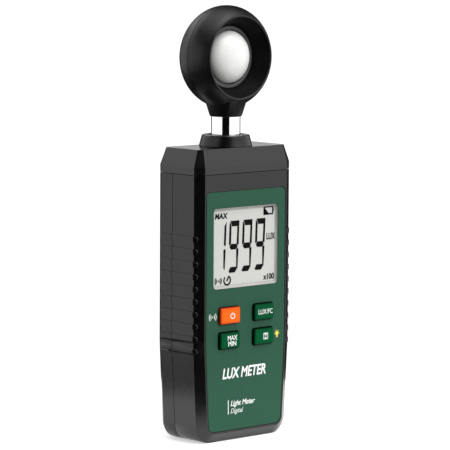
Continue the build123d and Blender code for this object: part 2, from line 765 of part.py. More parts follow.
with BuildPart() as neck_socket:
    add(ring_z(neck_r + 0.03, 0.01, head_collar_z - 1, head_collar_high_z + 1))
    add(ring_z(neck_flange_r + 0.05, 0.01, neck_high_z - neck_flange_t - 0.05, neck_high_z + 0.05))

rim_r = head_r * sqrt(1 - (head_rim_y / head_front_curve) ** 2)
with BuildPart() as head_front_shell:
    add(ellipsoid(head_r, head_front_curve))
    add(ellipsoid(head_r - head_wall, head_front_curve - head_wall), mode=Mode.SUBTRACT)
    add(between(-head_rim_y, far), mode=Mode.INTERSECT)
    # The bowl, from the rim down its wall to the floor and back up behind.
    floor_front, floor_back = -bowl_floor_y, bowl_floor_t - bowl_floor_y
    add(turned((-head_rim_y, rim_r - 0.1), (-head_rim_y, bowl_rim_r + rim_edge),
               (rim_edge - head_rim_y, bowl_rim_r), (floor_front, bowl_floor_r), (floor_front, dome_r + 0.25),
               (floor_back, dome_r + 0.25), (floor_back, bowl_floor_r + 1), (2 - head_rim_y, rim_r + 0.2)))
    # Bevel round the outside of the rim.
    bevel_y = -head_rim_y - 0.2 * rim_edge
    add(turned((bevel_y, rim_r - 1.2 * rim_edge), (bevel_y, rim_r + 2),
               (-head_rim_y + 1.5 * rim_edge, rim_r + 1.6 * rim_edge)), mode=Mode.SUBTRACT)
    add(head_collar.part)
    for x, z in head_screw_places:
        add(rod(head_boss_r, head_screw_tip_y - 1.3, 0, x, z))
    add(neck_socket.part, mode=Mode.SUBTRACT)
    add(between(low_y=-half_gap), mode=Mode.SUBTRACT)
    for x, z in head_screw_places:
        add(rod(head_screw_r + 0.02, head_screw_tip_y - 0.4, 5, x, z), mode=Mode.SUBTRACT)
    for x, z in sensor_screw_places:
        add(rod(sensor_post_r, 0.4 - bowl_floor_y, sensor_board_y, x, z))
        hole_y = sensor_board_y - sensor_screw_depth - 0.4
        add(rod(sensor_screw_r + 0.02, hole_y, sensor_board_y, x, z), mode=Mode.SUBTRACT)
save(head_front_shell, "head_front_shell")

with BuildPart() as head_rear_shell:
    add(ellipsoid(head_r, head_back))
    add(ellipsoid(head_r - head_wall, head_back - head_wall), mode=Mode.SUBTRACT)
    add(head_collar.part)
    for x, z in head_screw_places:
        add(rod(head_boss_r, 0, head_screw_seat_y + 2, x, z))
    add(neck_socket.part, mode=Mode.SUBTRACT)
    add(between(high_y=half_gap), mode=Mode.SUBTRACT)
    for x, z in head_screw_places:
        add(rod(head_screw_r + 0.2, 0, 30, x, z), mode=Mode.SUBTRACT)
        add(rod(head_screw_head_r + 0.25, head_screw_seat_y, 30, x, z), mode=Mode.SUBTRACT)
save(head_rear_shell, "head_rear_shell")

with BuildPart() as head_screws:
    for x, z in head_screw_places:
        add(cross_screw(head_screw_head_r, head_screw_head_t, head_screw_r, head_screw_seat_y,
                        head_screw_tip_y, x, z))
save(head_screws, "head_screws")

# ---------------------------------------------------------------- sensor
with BuildPart() as bowl_ring:
    add(turned((-bowl_floor_y, bowl_floor_r - 0.3), (-bowl_floor_y - 0.7, bowl_floor_r - 0.1),
               (-bowl_floor_y - 0.7, dome_r + 0.6), (-bowl_floor_y, dome_r + 0.6)))
save(bowl_ring, "bowl_ring")

with BuildPart() as diffuser_dome:
    dome_depth = dome_front - bowl_floor_y
    sphere_r = (dome_r**2 + dome_depth**2) / (2 * dome_depth)
    inner_r = sphere_r - dome_wall
    middle = (sphere_r - dome_front, head_z)
    outer_sweep = asin(dome_r / sphere_r) * 180 / pi
    inner_sweep = acos((sphere_r - dome_depth) / inner_r) * 180 / pi
    flange_front, flange_back = -bowl_floor_y + 1.65, sensor_board_y - 1.1
    with BuildSketch(Plane.YZ):
        with BuildLine():
            outside = CenterArc(middle, sphere_r, start_angle=180 - outer_sweep, arc_size=outer_sweep)
            inside = CenterArc(middle, inner_r, start_angle=180 - inner_sweep, arc_size=inner_sweep)
            Line(outside @ 1, inside @ 1)
            Polyline(outside @ 0, (flange_front, head_z + dome_r), (flange_front, head_z + dome_flange_r),
                     (flange_back, head_z + dome_flange_r), (flange_back, (inside @ 0).Y), inside @ 0)
        make_face()
    revolve(axis=head_axis)
save(diffuser_dome, "diffuser_dome")

with BuildPart() as dome_seal:
    add(turned((sensor_board_y - 1.05, dome_flange_r - 0.2), (sensor_board_y - 0.05, dome_flange_r - 0.2),
               (sensor_board_y - 0.05, dome_r - 0.4), (sensor_board_y - 1.05, dome_r - 0.4)))
save(dome_seal, "dome_seal")

with BuildPart() as sensor_board:
    add(rod(sensor_board_r, sensor_board_y, sensor_board_y + sensor_board_t, 0, head_z))
    add(between(high_z=head_z - sensor_board_flat), mode=Mode.SUBTRACT)
    for x, z in sensor_screw_places:
        add(rod(0.8, -5, 5, x, z), mode=Mode.SUBTRACT)
save(sensor_board, "sensor_board")

with BuildPart() as sensor_screws:
    for x, z in sensor_screw_places:
        add(cross_screw(sensor_screw_head_r, sensor_screw_head_t, sensor_screw_r,
                        sensor_board_y + sensor_board_t, sensor_board_y - sensor_screw_depth, x, z))
save(sensor_screws, "sensor_screws")

with BuildPart() as photodiode:
    add(plate(9, 9, sensor_board_y - 1.8, sensor_board_y, 0, head_z, 0.6))
save(photodiode, "photodiode")

with BuildPart() as colour_filter:
    add(rod(4.6, sensor_board_y - 3.0, sensor_board_y - 1.85, 0, head_z))
save(colour_filter, "colour_filter")

# ---------------------------------------------------------------- sensor lead
head_plug_z = head_z - 11.4
with BuildPart() as head_plug:
    add(plate(6, 3.4, sensor_board_y + sensor_board_t, sensor_board_y + 5.2, 0, head_plug_z, 0.3))
save(head_plug, "head_plug")

with BuildPart() as sensor_lead:
    with BuildLine() as lead_path:
        lead_y = sensor_board_y + 3.4
        FilletPolyline((0, 0, lead_split_z + 0.2), (0, 0, 167.5), (0, lead_y, 173),
                       (0, lead_y, head_plug_z - 1.75), radius=3)
    with BuildSketch(Plane(origin=lead_path.line @ 0, z_dir=lead_path.line % 0)):
        Circle(lead_r)
    sweep(path=lead_path.line)
save(sensor_lead, "sensor_lead")

board_plug_z = 114.0
with BuildPart() as board_plug:
    add(plate(6.4, 4, board_back_y, board_back_y + 3.6, 0, board_plug_z, 0.3))
save(board_plug, "board_plug")

with BuildPart() as board_lead:
    with BuildLine() as tail_path:
        tail_y = board_back_y + 1.9
        FilletPolyline((0, tail_y, board_plug_z + 2.05), (0, tail_y, 122), (0, 0, 127.5),
                       (0, 0, lead_split_z - 0.2), radius=3)
    with BuildSketch(Plane(origin=tail_path.line @ 0, z_dir=tail_path.line % 0)):
        Circle(lead_r)
    sweep(path=tail_path.line)
save(board_lead, "board_lead")
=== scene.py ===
import json
from math import acos, cos, degrees, pi, radians, sin, sqrt, tan

import bmesh
import bpy
from mathutils import Matrix, Vector


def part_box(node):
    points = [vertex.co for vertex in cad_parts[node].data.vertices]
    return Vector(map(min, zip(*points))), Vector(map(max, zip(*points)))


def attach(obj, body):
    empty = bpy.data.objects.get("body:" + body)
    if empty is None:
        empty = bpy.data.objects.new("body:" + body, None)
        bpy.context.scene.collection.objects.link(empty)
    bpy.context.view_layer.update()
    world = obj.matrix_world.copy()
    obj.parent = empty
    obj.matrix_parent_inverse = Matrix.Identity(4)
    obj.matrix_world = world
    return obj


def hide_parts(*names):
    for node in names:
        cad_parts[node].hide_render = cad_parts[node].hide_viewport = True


# A handheld light meter: moulded case with a display and keys, and a round sensor head on a
# chromed neck. Lengths are millimetres in the shape code and become metres in loose().

MM = 0.001
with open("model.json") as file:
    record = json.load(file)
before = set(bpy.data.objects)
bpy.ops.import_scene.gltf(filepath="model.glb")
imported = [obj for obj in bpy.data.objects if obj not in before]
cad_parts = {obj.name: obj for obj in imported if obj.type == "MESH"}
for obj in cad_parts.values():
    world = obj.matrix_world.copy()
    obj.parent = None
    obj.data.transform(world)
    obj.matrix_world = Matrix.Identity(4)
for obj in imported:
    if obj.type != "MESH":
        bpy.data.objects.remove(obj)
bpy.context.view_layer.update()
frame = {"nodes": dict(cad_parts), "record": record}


def box_mm(node):
    """A CAD node's lowest and highest corner, in millimetres."""
    low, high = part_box(node)
    return low / MM, high / MM


# ---------------------------------------------------------------- places and sizes
label_low, label_high = box_mm("face_label")
front_y = label_low.y  # the case's front face
cap_high = box_mm("top_cap")[1]
window_low, window_high = box_mm("display_window")
face_y = window_low.y  # the display window's raised middle
head_low, head_high = box_mm("head_front_shell")
rear_low, rear_high = box_mm("head_rear_shell")
dome_low = box_mm("diffuser_dome")[0]
ring_high = box_mm("bowl_ring")[1]
neck_low, neck_high = box_mm("neck_tube")
collar_high = box_mm("neck_collar")[1]

head_r = (rear_high.x - rear_low.x) / 2
head_z = head_high.z - head_r
head_back = rear_high.y
head_rim_y = head_low.y
head_front_curve = 18.7  # depth of the ellipse that the head's front follows
head_wall = 2.0
seam_half = 0.15  # half the gap where two shells meet
bowl_rim_r = 19.7
bowl_floor_y = ring_high.y
bowl_floor_r = 15.3
dome_r = 13.0
neck_r = 7.25
neck_bore_r = 6.2  # inside the tube
collar_bore_r = 8.25  # the base collar's bore round the neck
collar_top_r = 11.95
display_z = (window_low.z + window_high.z) / 2
display_width = 43.4
display_height = 40.0
key_top_y = box_mm("power_key")[0].y
screw_head_r = 1.8  # the screws in the back of the head
screw_recess_r = 2.05

# The camera stands to the left of the front and a little above level.
view_turn = radians(42.63)
view_rise = radians(6.28)
view_roll = radians(0.36)
view_distance = 1.4207  # metres
view_lens = 227.2


# ---------------------------------------------------------------- material building
def new_material(name):
    """A material with its node tree, its Principled shader and object coordinates."""
    material = bpy.data.materials.new(name)
    material.use_nodes = True
    tree = material.node_tree
    shader = tree.nodes["Principled BSDF"]
    place = tree.nodes.new("ShaderNodeTexCoord")
    return material, tree, shader, place.outputs["Object"]


def noise(tree, place, scale, detail=3.0, stretch=None):
    """A noise texture's factor. scale is features per metre; stretch scales each axis."""
    texture = tree.nodes.new("ShaderNodeTexNoise")
    texture.inputs["Scale"].default_value = scale
    texture.inputs["Detail"].default_value = detail
    if stretch:
        mapping = tree.nodes.new("ShaderNodeMapping")
        mapping.inputs["Scale"].default_value = stretch
        tree.links.new(place, mapping.inputs["Vector"])
        place = mapping.outputs["Vector"]
    tree.links.new(place, texture.inputs["Vector"])
    return texture.outputs["Fac"]


def ramp(tree, factor, stops):
    """A colour ramp on factor; stops are (position, colour)."""
    node = tree.nodes.new("ShaderNodeValToRGB")
    elements = node.color_ramp.elements
    while len(elements) < len(stops):
        elements.new(0.5)
    for element, (position, colour) in zip(elements, stops):
        element.position = position
        element.color = (*colour, 1)
    tree.links.new(factor, node.inputs["Fac"])
    return node.outputs["Color"]


def spread(tree, factor, low, high):
    """factor, from 0.25 to 0.75 as noise gives it, stretched over low to high."""
    node = tree.nodes.new("ShaderNodeMapRange")
    node.inputs["From Min"].default_value = 0.25
    node.inputs["From Max"].default_value = 0.75
    node.inputs["To Min"].default_value = low
    node.inputs["To Max"].default_value = high
    tree.links.new(factor, node.inputs["Value"])
    return node.outputs["Result"]


def multiplied(tree, one, two):
    """Two colours multiplied."""
    mix = tree.nodes.new("ShaderNodeMix")
    mix.data_type = "RGBA"
    mix.blend_type = "MULTIPLY"
    mix.inputs["Factor"].default_value = 1.0
    tree.links.new(one, mix.inputs["A"])
    tree.links.new(two, mix.inputs["B"])
    return mix.outputs["Result"]


def along(tree, place, axis, start, end):
    """0 at start and 1 at end, both in metres along an axis of the object."""
    split = tree.nodes.new("ShaderNodeSeparateXYZ")
    tree.links.new(place, split.inputs["Vector"])
    node = tree.nodes.new("ShaderNodeMapRange")
    node.inputs["From Min"].default_value = start
    node.inputs["From Max"].default_value = end
    tree.links.new(split.outputs[axis], node.inputs["Value"])
    return node.outputs["Result"]


def bump(tree, shader, height, distance_mm):
    """Tilts the shader's normal as a relief of this depth would."""
    node = tree.nodes.new("ShaderNodeBump")
    node.inputs["Distance"].default_value = distance_mm * MM
    tree.links.new(height, node.inputs["Height"])
    tree.links.new(node.outputs["Normal"], shader.inputs["Normal"])


def shade(colour, factor):
    """A colour made darker or paler, with no channel above 1."""
    return tuple(min(1.0, c * factor) for c in colour)


def surface(name, colour, roughness, grain_mm, grain_depth_mm, metallic=0.0, variation=0.12,
            coat=0.0, specular=0.5, wear=0.0, stretch=None):
    """A solid finish: cloudy colour, uneven gloss, a fine grain, and edges a little paler with wear."""
    material, tree, shader, place = new_material(name)
    cloud = noise(tree, place, 60, 4)
    tint = ramp(tree, cloud, [(0.3, shade(colour, 1 - variation)), (0.7, shade(colour, 1 + variation))])
    if wear:
        # Pointiness is 0.5 on flat ground and more on an outer edge.
        geometry = tree.nodes.new("ShaderNodeNewGeometry")
        edge = tree.nodes.new("ShaderNodeMapRange")
        edge.inputs["From Min"].default_value = 0.52
        edge.inputs["From Max"].default_value = 0.62
        edge.inputs["To Max"].default_value = wear
        tree.links.new(geometry.outputs["Pointiness"], edge.inputs["Value"])
        mix = tree.nodes.new("ShaderNodeMix")
        mix.data_type = "RGBA"
        mix.inputs["B"].default_value = (*shade(colour, 2.2), 1)
        tree.links.new(edge.outputs["Result"], mix.inputs["Factor"])
        tree.links.new(tint, mix.inputs["A"])
        tint = mix.outputs["Result"]
    tree.links.new(tint, shader.inputs["Base Color"])
    uneven = noise(tree, place, 250, 3)
    rough = spread(tree, uneven, roughness * 0.85, roughness * 1.15)
    tree.links.new(rough, shader.inputs["Roughness"])
    shader.inputs["Metallic"].default_value = metallic
    shader.inputs["Coat Weight"].default_value = coat
    shader.inputs["Coat Roughness"].default_value = 0.12
    shader.inputs["Specular IOR Level"].default_value = specular
    grain = noise(tree, place, 1 / (grain_mm * MM), 2, stretch)
    bump(tree, shader, grain, grain_depth_mm)
    return material


def label_material():
    """Printed green film with a fine even texture; painted shade makes it slightly darker towards the
    bottom than the top.
    """
    material, tree, shader, place = new_material("label_green")
    # Painted shade: the green darkens from the top of the label down to its foot.
    height = along(tree, place, "Z", label_low.z * MM, label_high.z * MM)
    tint = ramp(tree, height, [(0.0, (0.008, 0.070, 0.036)), (1.0, (0.014, 0.086, 0.048))])
    grain = noise(tree, place, 4000, 2)
    speckle = ramp(tree, grain, [(0.35, (0.93, 0.93, 0.93)), (0.65, (1.0, 1.0, 1.0))])
    tree.links.new(multiplied(tree, tint, speckle), shader.inputs["Base Color"])
    tree.links.new(spread(tree, noise(tree, place, 300), 0.42, 0.52), shader.inputs["Roughness"])
    shader.inputs["Specular IOR Level"].default_value = 0.22
    bump(tree, shader, noise(tree, place, 3500, 2), 0.008)
    return material


def display_material():
    """Reflective display: pale grey-green with a faint mottle and a glossy cover."""
    material, tree, shader, place = new_material("display_grey")
    mottle = noise(tree, place, 2500, 2)
    tint = ramp(tree, mottle, [(0.3, (0.555, 0.56, 0.525)), (0.7, (0.60, 0.605, 0.57))])
    tree.links.new(tint, shader.inputs["Base Color"])
    tree.links.new(spread(tree, noise(tree, place, 200), 0.30, 0.40), shader.inputs["Roughness"])
    shader.inputs["Coat Weight"].default_value = 0.5
    shader.inputs["Coat Roughness"].default_value = 0.05
    bump(tree, shader, mottle, 0.002)
    return material


def dome_material():
    """Opal diffuser: white, soft inside, smooth outside."""
    material, tree, shader, place = new_material("dome_opal")
    tint = ramp(tree, noise(tree, place, 120), [(0.3, (0.84, 0.84, 0.82)), (0.7, (0.90, 0.90, 0.89))])
    tree.links.new(tint, shader.inputs["Base Color"])
    shader.inputs["Subsurface Weight"].default_value = 0.35
    shader.inputs["Subsurface Radius"].default_value = (1.0, 0.95, 0.9)
    shader.inputs["Subsurface Scale"].default_value = 1.5 * MM
    tree.links.new(spread(tree, noise(tree, place, 400), 0.22, 0.30), shader.inputs["Roughness"])
    bump(tree, shader, noise(tree, place, 1500, 2), 0.003)
    return material


def key_material(name, colour, shaded_side_colour, specular):
    """A moulded key whose colour darkens from its top down its sides: painted shade in the gap round it.
    """
    material, tree, shader, place = new_material(name)
    # Painted shade: the colour goes darker from the key's top down its sides to the label.
    proud = along(tree, place, "Y", front_y * MM, key_top_y * MM)
    tint = ramp(tree, proud, [(0.0, shade(shaded_side_colour, 0.1)), (0.65, shaded_side_colour),
                              (0.97, shade(colour, 0.85)), (1.0, colour)])
    cloud = ramp(tree, noise(tree, place, 60, 4), [(0.3, (0.92, 0.92, 0.92)), (0.7, (1.0, 1.0, 1.0))])
    tree.links.new(multiplied(tree, tint, cloud), shader.inputs["Base Color"])
    tree.links.new(spread(tree, noise(tree, place, 250), 0.30, 0.40), shader.inputs["Roughness"])
    shader.inputs["Specular IOR Level"].default_value = specular
    bump(tree, shader, noise(tree, place, 3300, 2), 0.004)
    return material


def board_material():
    """Green board with paler copper tracks under the solder mask."""
    material, tree, shader, place = new_material("board_green")
    tracks = tree.nodes.new("ShaderNodeTexBrick")
    tracks.inputs["Scale"].default_value = 180
    tracks.inputs["Mortar Size"].default_value = 0.06
    tracks.inputs["Color1"].default_value = (0.012, 0.10, 0.035, 1)
    tracks.inputs["Color2"].default_value = (0.016, 0.13, 0.045, 1)
    tracks.inputs["Mortar"].default_value = (0.05, 0.26, 0.09, 1)
    turn = tree.nodes.new("ShaderNodeMapping")
    turn.inputs["Rotation"].default_value = (pi / 2, 0, 0)
    tree.links.new(place, turn.inputs["Vector"])
    tree.links.new(turn.outputs["Vector"], tracks.inputs["Vector"])
    tree.links.new(tracks.outputs["Color"], shader.inputs["Base Color"])
    tree.links.new(spread(tree, noise(tree, place, 500), 0.25, 0.35), shader.inputs["Roughness"])
    bump(tree, shader, tracks.outputs["Fac"], 0.02)
    return material


def cell_material():
    """Cells: a plain slate-blue jacket with a pale grey band at one end."""
    material, tree, shader, place = new_material("cell_foil")
    low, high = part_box("battery_cells")
    height = along(tree, place, "Z", low.z, high.z)
    tint = ramp(tree, height, [(0.82, (0.04, 0.07, 0.13)), (0.84, (0.55, 0.55, 0.53))])
    tree.links.new(tint, shader.inputs["Base Color"])
    tree.links.new(spread(tree, noise(tree, place, 700), 0.22, 0.34), shader.inputs["Roughness"])
    shader.inputs["Metallic"].default_value = 0.4
    bump(tree, shader, noise(tree, place, 1200), 0.01)
    return material


BLACK_PLASTIC = (0.012, 0.012, 0.013)
materials = {
    "case_shell": surface("case_plastic", (0.0015, 0.0015, 0.0015), 0.22, 0.35, 0.004, wear=0.2),
    "case_cap": surface("cap_plastic", (0.003, 0.003, 0.003), 0.22, 0.35, 0.004, specular=0.6, wear=0.2),
    "head_shell": surface("head_plastic", (0.0022, 0.0020, 0.0030), 0.42, 0.25, 0.002, specular=0.42),
    # The bowl's colour is darker than the head's: painted shade in the bowl.
    "bowl": surface("bowl_matt_painted_shade", (0.0012, 0.0012, 0.0014), 0.5, 0.25, 0.004, specular=0.12),
    "collar": surface("collar_plastic", (0.003, 0.003, 0.003), 0.30, 0.25, 0.002, specular=0.4),
    "face_label": label_material(),
    # The surround's grey is darker than the display face's: painted shade on the dish's sloping walls.
    "window": surface("window_bezel", (0.44, 0.44, 0.42), 0.35, 0.5, 0.003, specular=0.2),
    "display": display_material(),
    "reflector": surface("reflector_sheet", (0.85, 0.85, 0.82), 0.5, 0.3, 0.01),
    "frame_plastic": surface("frame_moulding", (0.66, 0.66, 0.63), 0.5, 0.4, 0.01),
    "zebra_rubber": surface("zebra_rubber", (0.45, 0.18, 0.22), 0.7, 0.12, 0.02, stretch=(1, 0.1, 0.1)),
    "board": board_material(),
    "chip": surface("chip_epoxy", BLACK_PLASTIC, 0.6, 0.2, 0.01),
    "can": surface("can_tin", (0.6, 0.6, 0.58), 0.32, 0.3, 0.01, metallic=1.0),
    "led": surface("led_clear", (0.85, 0.85, 0.72), 0.15, 0.5, 0.002, coat=0.5),
    "switch_body": surface("switch_plastic", BLACK_PLASTIC, 0.5, 0.3, 0.01),
    "plunger": surface("plunger_nylon", (0.72, 0.72, 0.68), 0.5, 0.3, 0.006),
    # Each key's second colour is the painted shade at the foot of its sides.
    "key_green": key_material("key_green", (0.0005, 0.088, 0.029), (0.0002, 0.012, 0.004), 0.03),
    "key_orange": key_material("key_orange", (1.0, 0.145, 0.004), (0.45, 0.022, 0.001), 0.1),
    "cell_jacket": cell_material(),
    "contact": surface("contact_nickel", (0.72, 0.70, 0.66), 0.25, 0.2, 0.006, metallic=1.0),
    "wire": surface("wire_jacket", (0.35, 0.02, 0.02), 0.45, 0.3, 0.01),
    "screw": surface("screw_zinc", (0.42, 0.42, 0.43), 0.34, 0.25, 0.012, metallic=1.0, wear=0.3),
    "door_screw": surface("screw_nickel", (0.58, 0.56, 0.53), 0.28, 0.25, 0.008, metallic=1.0),
    "brass_insert": surface("insert_brass", (0.72, 0.47, 0.17), 0.3, 0.2, 0.01, metallic=1.0),
    "neck_chrome": surface("neck_chrome", (0.92, 0.92, 0.93), 0.07, 1.5, 0.001, metallic=1.0,
                           variation=0.02, stretch=(0.2, 0.2, 3)),
    "bush": surface("bush_nylon", (0.70, 0.70, 0.68), 0.5, 0.3, 0.01),
    "spring_steel": surface("spring_steel", (0.5, 0.5, 0.5), 0.3, 0.3, 0.006, metallic=1.0),
    "ring_grey": surface("ring_plastic", (0.060, 0.060, 0.060), 0.42, 0.25, 0.008),
    "dome": dome_material(),
    "seal": surface("seal_rubber", BLACK_PLASTIC, 0.75, 0.3, 0.02),
    "diode": surface("diode_silicon", (0.02, 0.02, 0.05), 0.12, 0.6, 0.002, coat=0.4),
    "filter": surface("filter_glass", (0.16, 0.42, 0.30), 0.08, 1.0, 0.001, coat=0.6),
    "plug": surface("plug_nylon", (0.74, 0.70, 0.58), 0.45, 0.3, 0.008),
    "lead": surface("lead_jacket", (0.015, 0.015, 0.015), 0.5, 0.4, 0.02),
    "foam": surface("foam_strip", (0.02, 0.02, 0.02), 0.9, 0.5, 0.15),
    "ink_white": surface("ink_white", (0.80, 0.82, 0.80), 0.5, 0.2, 0.004, variation=0.04),
    "ink_dark": surface("segment_black", (0.0025, 0.0025, 0.003), 0.5, 0.2, 0.002, specular=0.05),
    "ink_yellow": surface("ink_yellow", (0.80, 0.70, 0.07), 0.5, 0.2, 0.004, variation=0.04),
}


# ---------------------------------------------------------------- mesh building
SMOOTH_ANGLE = 35.0  # degrees


def smooth(mesh, angle):
    """Smooth faces, with sharp edges where the surface turns by more than angle degrees."""
    for face in mesh.faces:
        face.smooth = True
    for edge in mesh.edges:
        edge.smooth = len(edge.link_faces) == 2 and edge.calc_face_angle(0) < radians(angle)


def loose(name, mesh, smooth_angle=SMOOTH_ANGLE):
    """An object from a bmesh in millimetres, with no material and no body yet."""
    bmesh.ops.recalc_face_normals(mesh, faces=mesh.faces)
    bmesh.ops.scale(mesh, vec=(MM, MM, MM), verts=mesh.verts)
    smooth(mesh, smooth_angle)
    data = bpy.data.meshes.new(name)
    mesh.to_mesh(data)
    mesh.free()
    made = bpy.data.objects.new(name, data)
    bpy.context.scene.collection.objects.link(made)
    return made


def new_piece(name, mesh, slot, body, replaces=(), smooth_angle=SMOOTH_ANGLE):
    """A visible piece from a bmesh in millimetres, with its material, body and replaced CAD nodes."""
    piece = loose(name, mesh, smooth_angle)
    piece.data.materials.append(materials[slot])
    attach(piece, body)
    if replaces:
        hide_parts(*replaces)
    return piece


def add_loops(mesh, loops, closed=False):
    """Skins a list of equal loops of points; caps both ends, or joins the last to the first."""
    rings = [[mesh.verts.new(p) for p in loop] for loop in loops]
    pairs = list(zip(rings, rings[1:])) + ([(rings[-1], rings[0])] if closed else [])
    for one, two in pairs:
        for k in range(len(one)):
            n = (k + 1) % len(one)
            mesh.faces.new((one[k], one[n], two[n], two[k]))
    if not closed:
        mesh.faces.new(rings[0])
        mesh.faces.new(rings[-1])


def lathe(mesh, profile, axis, segments=160):
    """Turns a closed (distance along, radius) profile about the head's axis "Y" or the neck's "Z"."""
    loops = []
    for k in range(segments):
        a = 2 * pi * k / segments
        c, s = cos(a), sin(a)
        if axis == "Y":
            loops.append([(r * c, d, head_z + r * s) for d, r in profile])
        else:
            loops.append([(r * c, r * s, d) for d, r in profile])
    add_loops(mesh, loops, closed=True)


def angles(start, end, count):
    """Evenly spaced angles from start to end degrees, in radians."""
    return [radians(start + (end - start) * k / (count - 1)) for k in range(count)]


def arc_points(centre, radius, start, end, count):
    """Points (x, y) round centre from start to end degrees."""
    x, y = centre
    return [(x + radius * cos(a), y + radius * sin(a)) for a in angles(start, end, count)]


def rounded_rectangle(width, height, corner):
    """Outline points of a rectangle with round corners, about (0, 0)."""
    x, z = width / 2 - corner, height / 2 - corner
    points = []
    for sx, sz, start in ((1, 1, 0), (-1, 1, 90), (-1, -1, 180), (1, -1, 270)):
        points += arc_points((sx * x, sz * z), corner, start, start + 90, 8)
    return points


def stack(mesh, width, height, corner, levels, x=0.0, z=0.0):
    """Rounded-rectangle loops facing -Y: levels are (inset, y)."""
    loops = []
    for inset, y in levels:
        outline = rounded_rectangle(width - 2 * inset, height - 2 * inset, max(corner - inset, 0.15))
        loops.append([(x + px, y, z + pz) for px, pz in outline])
    add_loops(mesh, loops)


def joined(piece, other, operation):
    """Applies a boolean of another piece to a piece, and removes the other."""
    modifier = piece.modifiers.new("join", "BOOLEAN")
    modifier.operation = operation
    modifier.solver = "EXACT"
    modifier.object = other
    bpy.context.view_layer.update()
    shown = piece.evaluated_get(bpy.context.evaluated_depsgraph_get())
    made = bpy.data.meshes.new_from_object(shown)
    piece.modifiers.clear()
    piece.data = made
    bpy.data.objects.remove(other)


def resmooth(piece):
    """Smooths a piece again after a boolean."""
    mesh = bmesh.new()
    mesh.from_mesh(piece.data)
    smooth(mesh, SMOOTH_ANGLE)
    mesh.to_mesh(piece.data)
    mesh.free()


# ---------------------------------------------------------------- CAD nodes that stay
def finish_cad_nodes():
    """Gives each CAD node its material."""
    for row in frame["record"]["subparts"]:
        node = frame["nodes"][row["node"]]
        node.data.materials.clear()
        node.data.materials.append(materials[row["material_slot"]])


def round_edges(name, width_mm, segments=3):
    """Softens a CAD node's sharp edges, as moulding does."""
    node = frame["nodes"][name]
    weld = node.modifiers.new("weld", "WELD")
    weld.merge_threshold = 0.002 * MM
    bevel = node.modifiers.new("edges", "BEVEL")
    bevel.width = width_mm * MM
    bevel.segments = segments
    bevel.limit_method = "ANGLE"
    bevel.angle_limit = radians(28)
    bevel.harden_normals = True


# ---------------------------------------------------------------- sensor head
def ellipse_points(depth, radius, start, end, count):
    """Points (y, r) on the head's ellipse, from angle start to end; 0 is along -Y, 90 is across."""
    return [(-depth * cos(a), radius * sin(a)) for a in angles(start, end, count)]


def head_collar(half):
    """The tapered collar under the head, cut at the seam; half is -1 in front and 1 behind."""
    mesh = bmesh.new()
    z, bore = head_low.z, neck_r + 0.05
    top, top_r = z + 9.4, 10.9
    edge = [(z, 7.5), (z + 0.12, 7.75), (z + 0.35, 7.95), (z + 0.7, 8.12)]
    lathe(mesh, [(z, bore)] + edge + [(top, top_r), (top, bore)], "Z", 128)
    away = Vector((0, -half, 0))
    cut = bmesh.ops.bisect_plane(mesh, geom=mesh.verts[:] + mesh.edges[:] + mesh.faces[:],
                                 plane_co=(0, half * seam_half, 0), plane_no=away, clear_outer=True)
    edges = [e for e in cut["geom_cut"] if isinstance(e, bmesh.types.BMEdge)]
    bmesh.ops.holes_fill(mesh, edges=edges)
    return loose("collar_half", mesh)


def make_head_front():
    """The front shell, open in a bowl round the dome, with a flat lip between two small roundings."""
    rim_angle = degrees(acos(-head_rim_y / head_front_curve))
    outer = ellipse_points(head_front_curve, head_r, 89.5, rim_angle + 1.2, 44)
    inner = ellipse_points(head_front_curve - head_wall, head_r - head_wall, 62, 89.5, 16)
    rim_r = outer[-1][1] - 0.12
    edge, lip_slope = 0.3, 0.25
    round_out = arc_points((head_rim_y + edge, rim_r - edge), edge, 75, 180, 6)
    round_in = arc_points((head_rim_y + lip_slope + edge, bowl_rim_r + edge), edge, 190, 290, 6)
    floor_back_y, hole_r = bowl_floor_y + 1.6, dome_r + 0.3
    bowl = [(bowl_floor_y - 0.3, bowl_floor_r + 0.15), (bowl_floor_y, bowl_floor_r),
            (bowl_floor_y, hole_r), (floor_back_y, hole_r), (floor_back_y, bowl_floor_r + 1)]
    profile = outer + round_out + round_in + bowl + inner
    mesh = bmesh.new()
    lathe(mesh, profile, "Y", 192)
    front = new_piece("head_front", mesh, "head_shell", "head", ["head_front_shell"])
    joined(front, head_collar(-1), "UNION")
    resmooth(front)
    # The bowl inside the rim has its own matt finish, with a darker colour that is painted shade in the
    # bowl.
    front.data.materials.append(materials["bowl"])
    axis = Vector((0, 0, head_z * MM))
    for face in front.data.polygons:
        away = face.center - axis
        across = sqrt(away.x ** 2 + away.z ** 2)
        inward = face.normal.x * away.x + face.normal.z * away.z < 0
        if inward and across < (bowl_rim_r + 0.2) * MM and away.y < bowl_floor_y * MM:
            face.material_index = 1


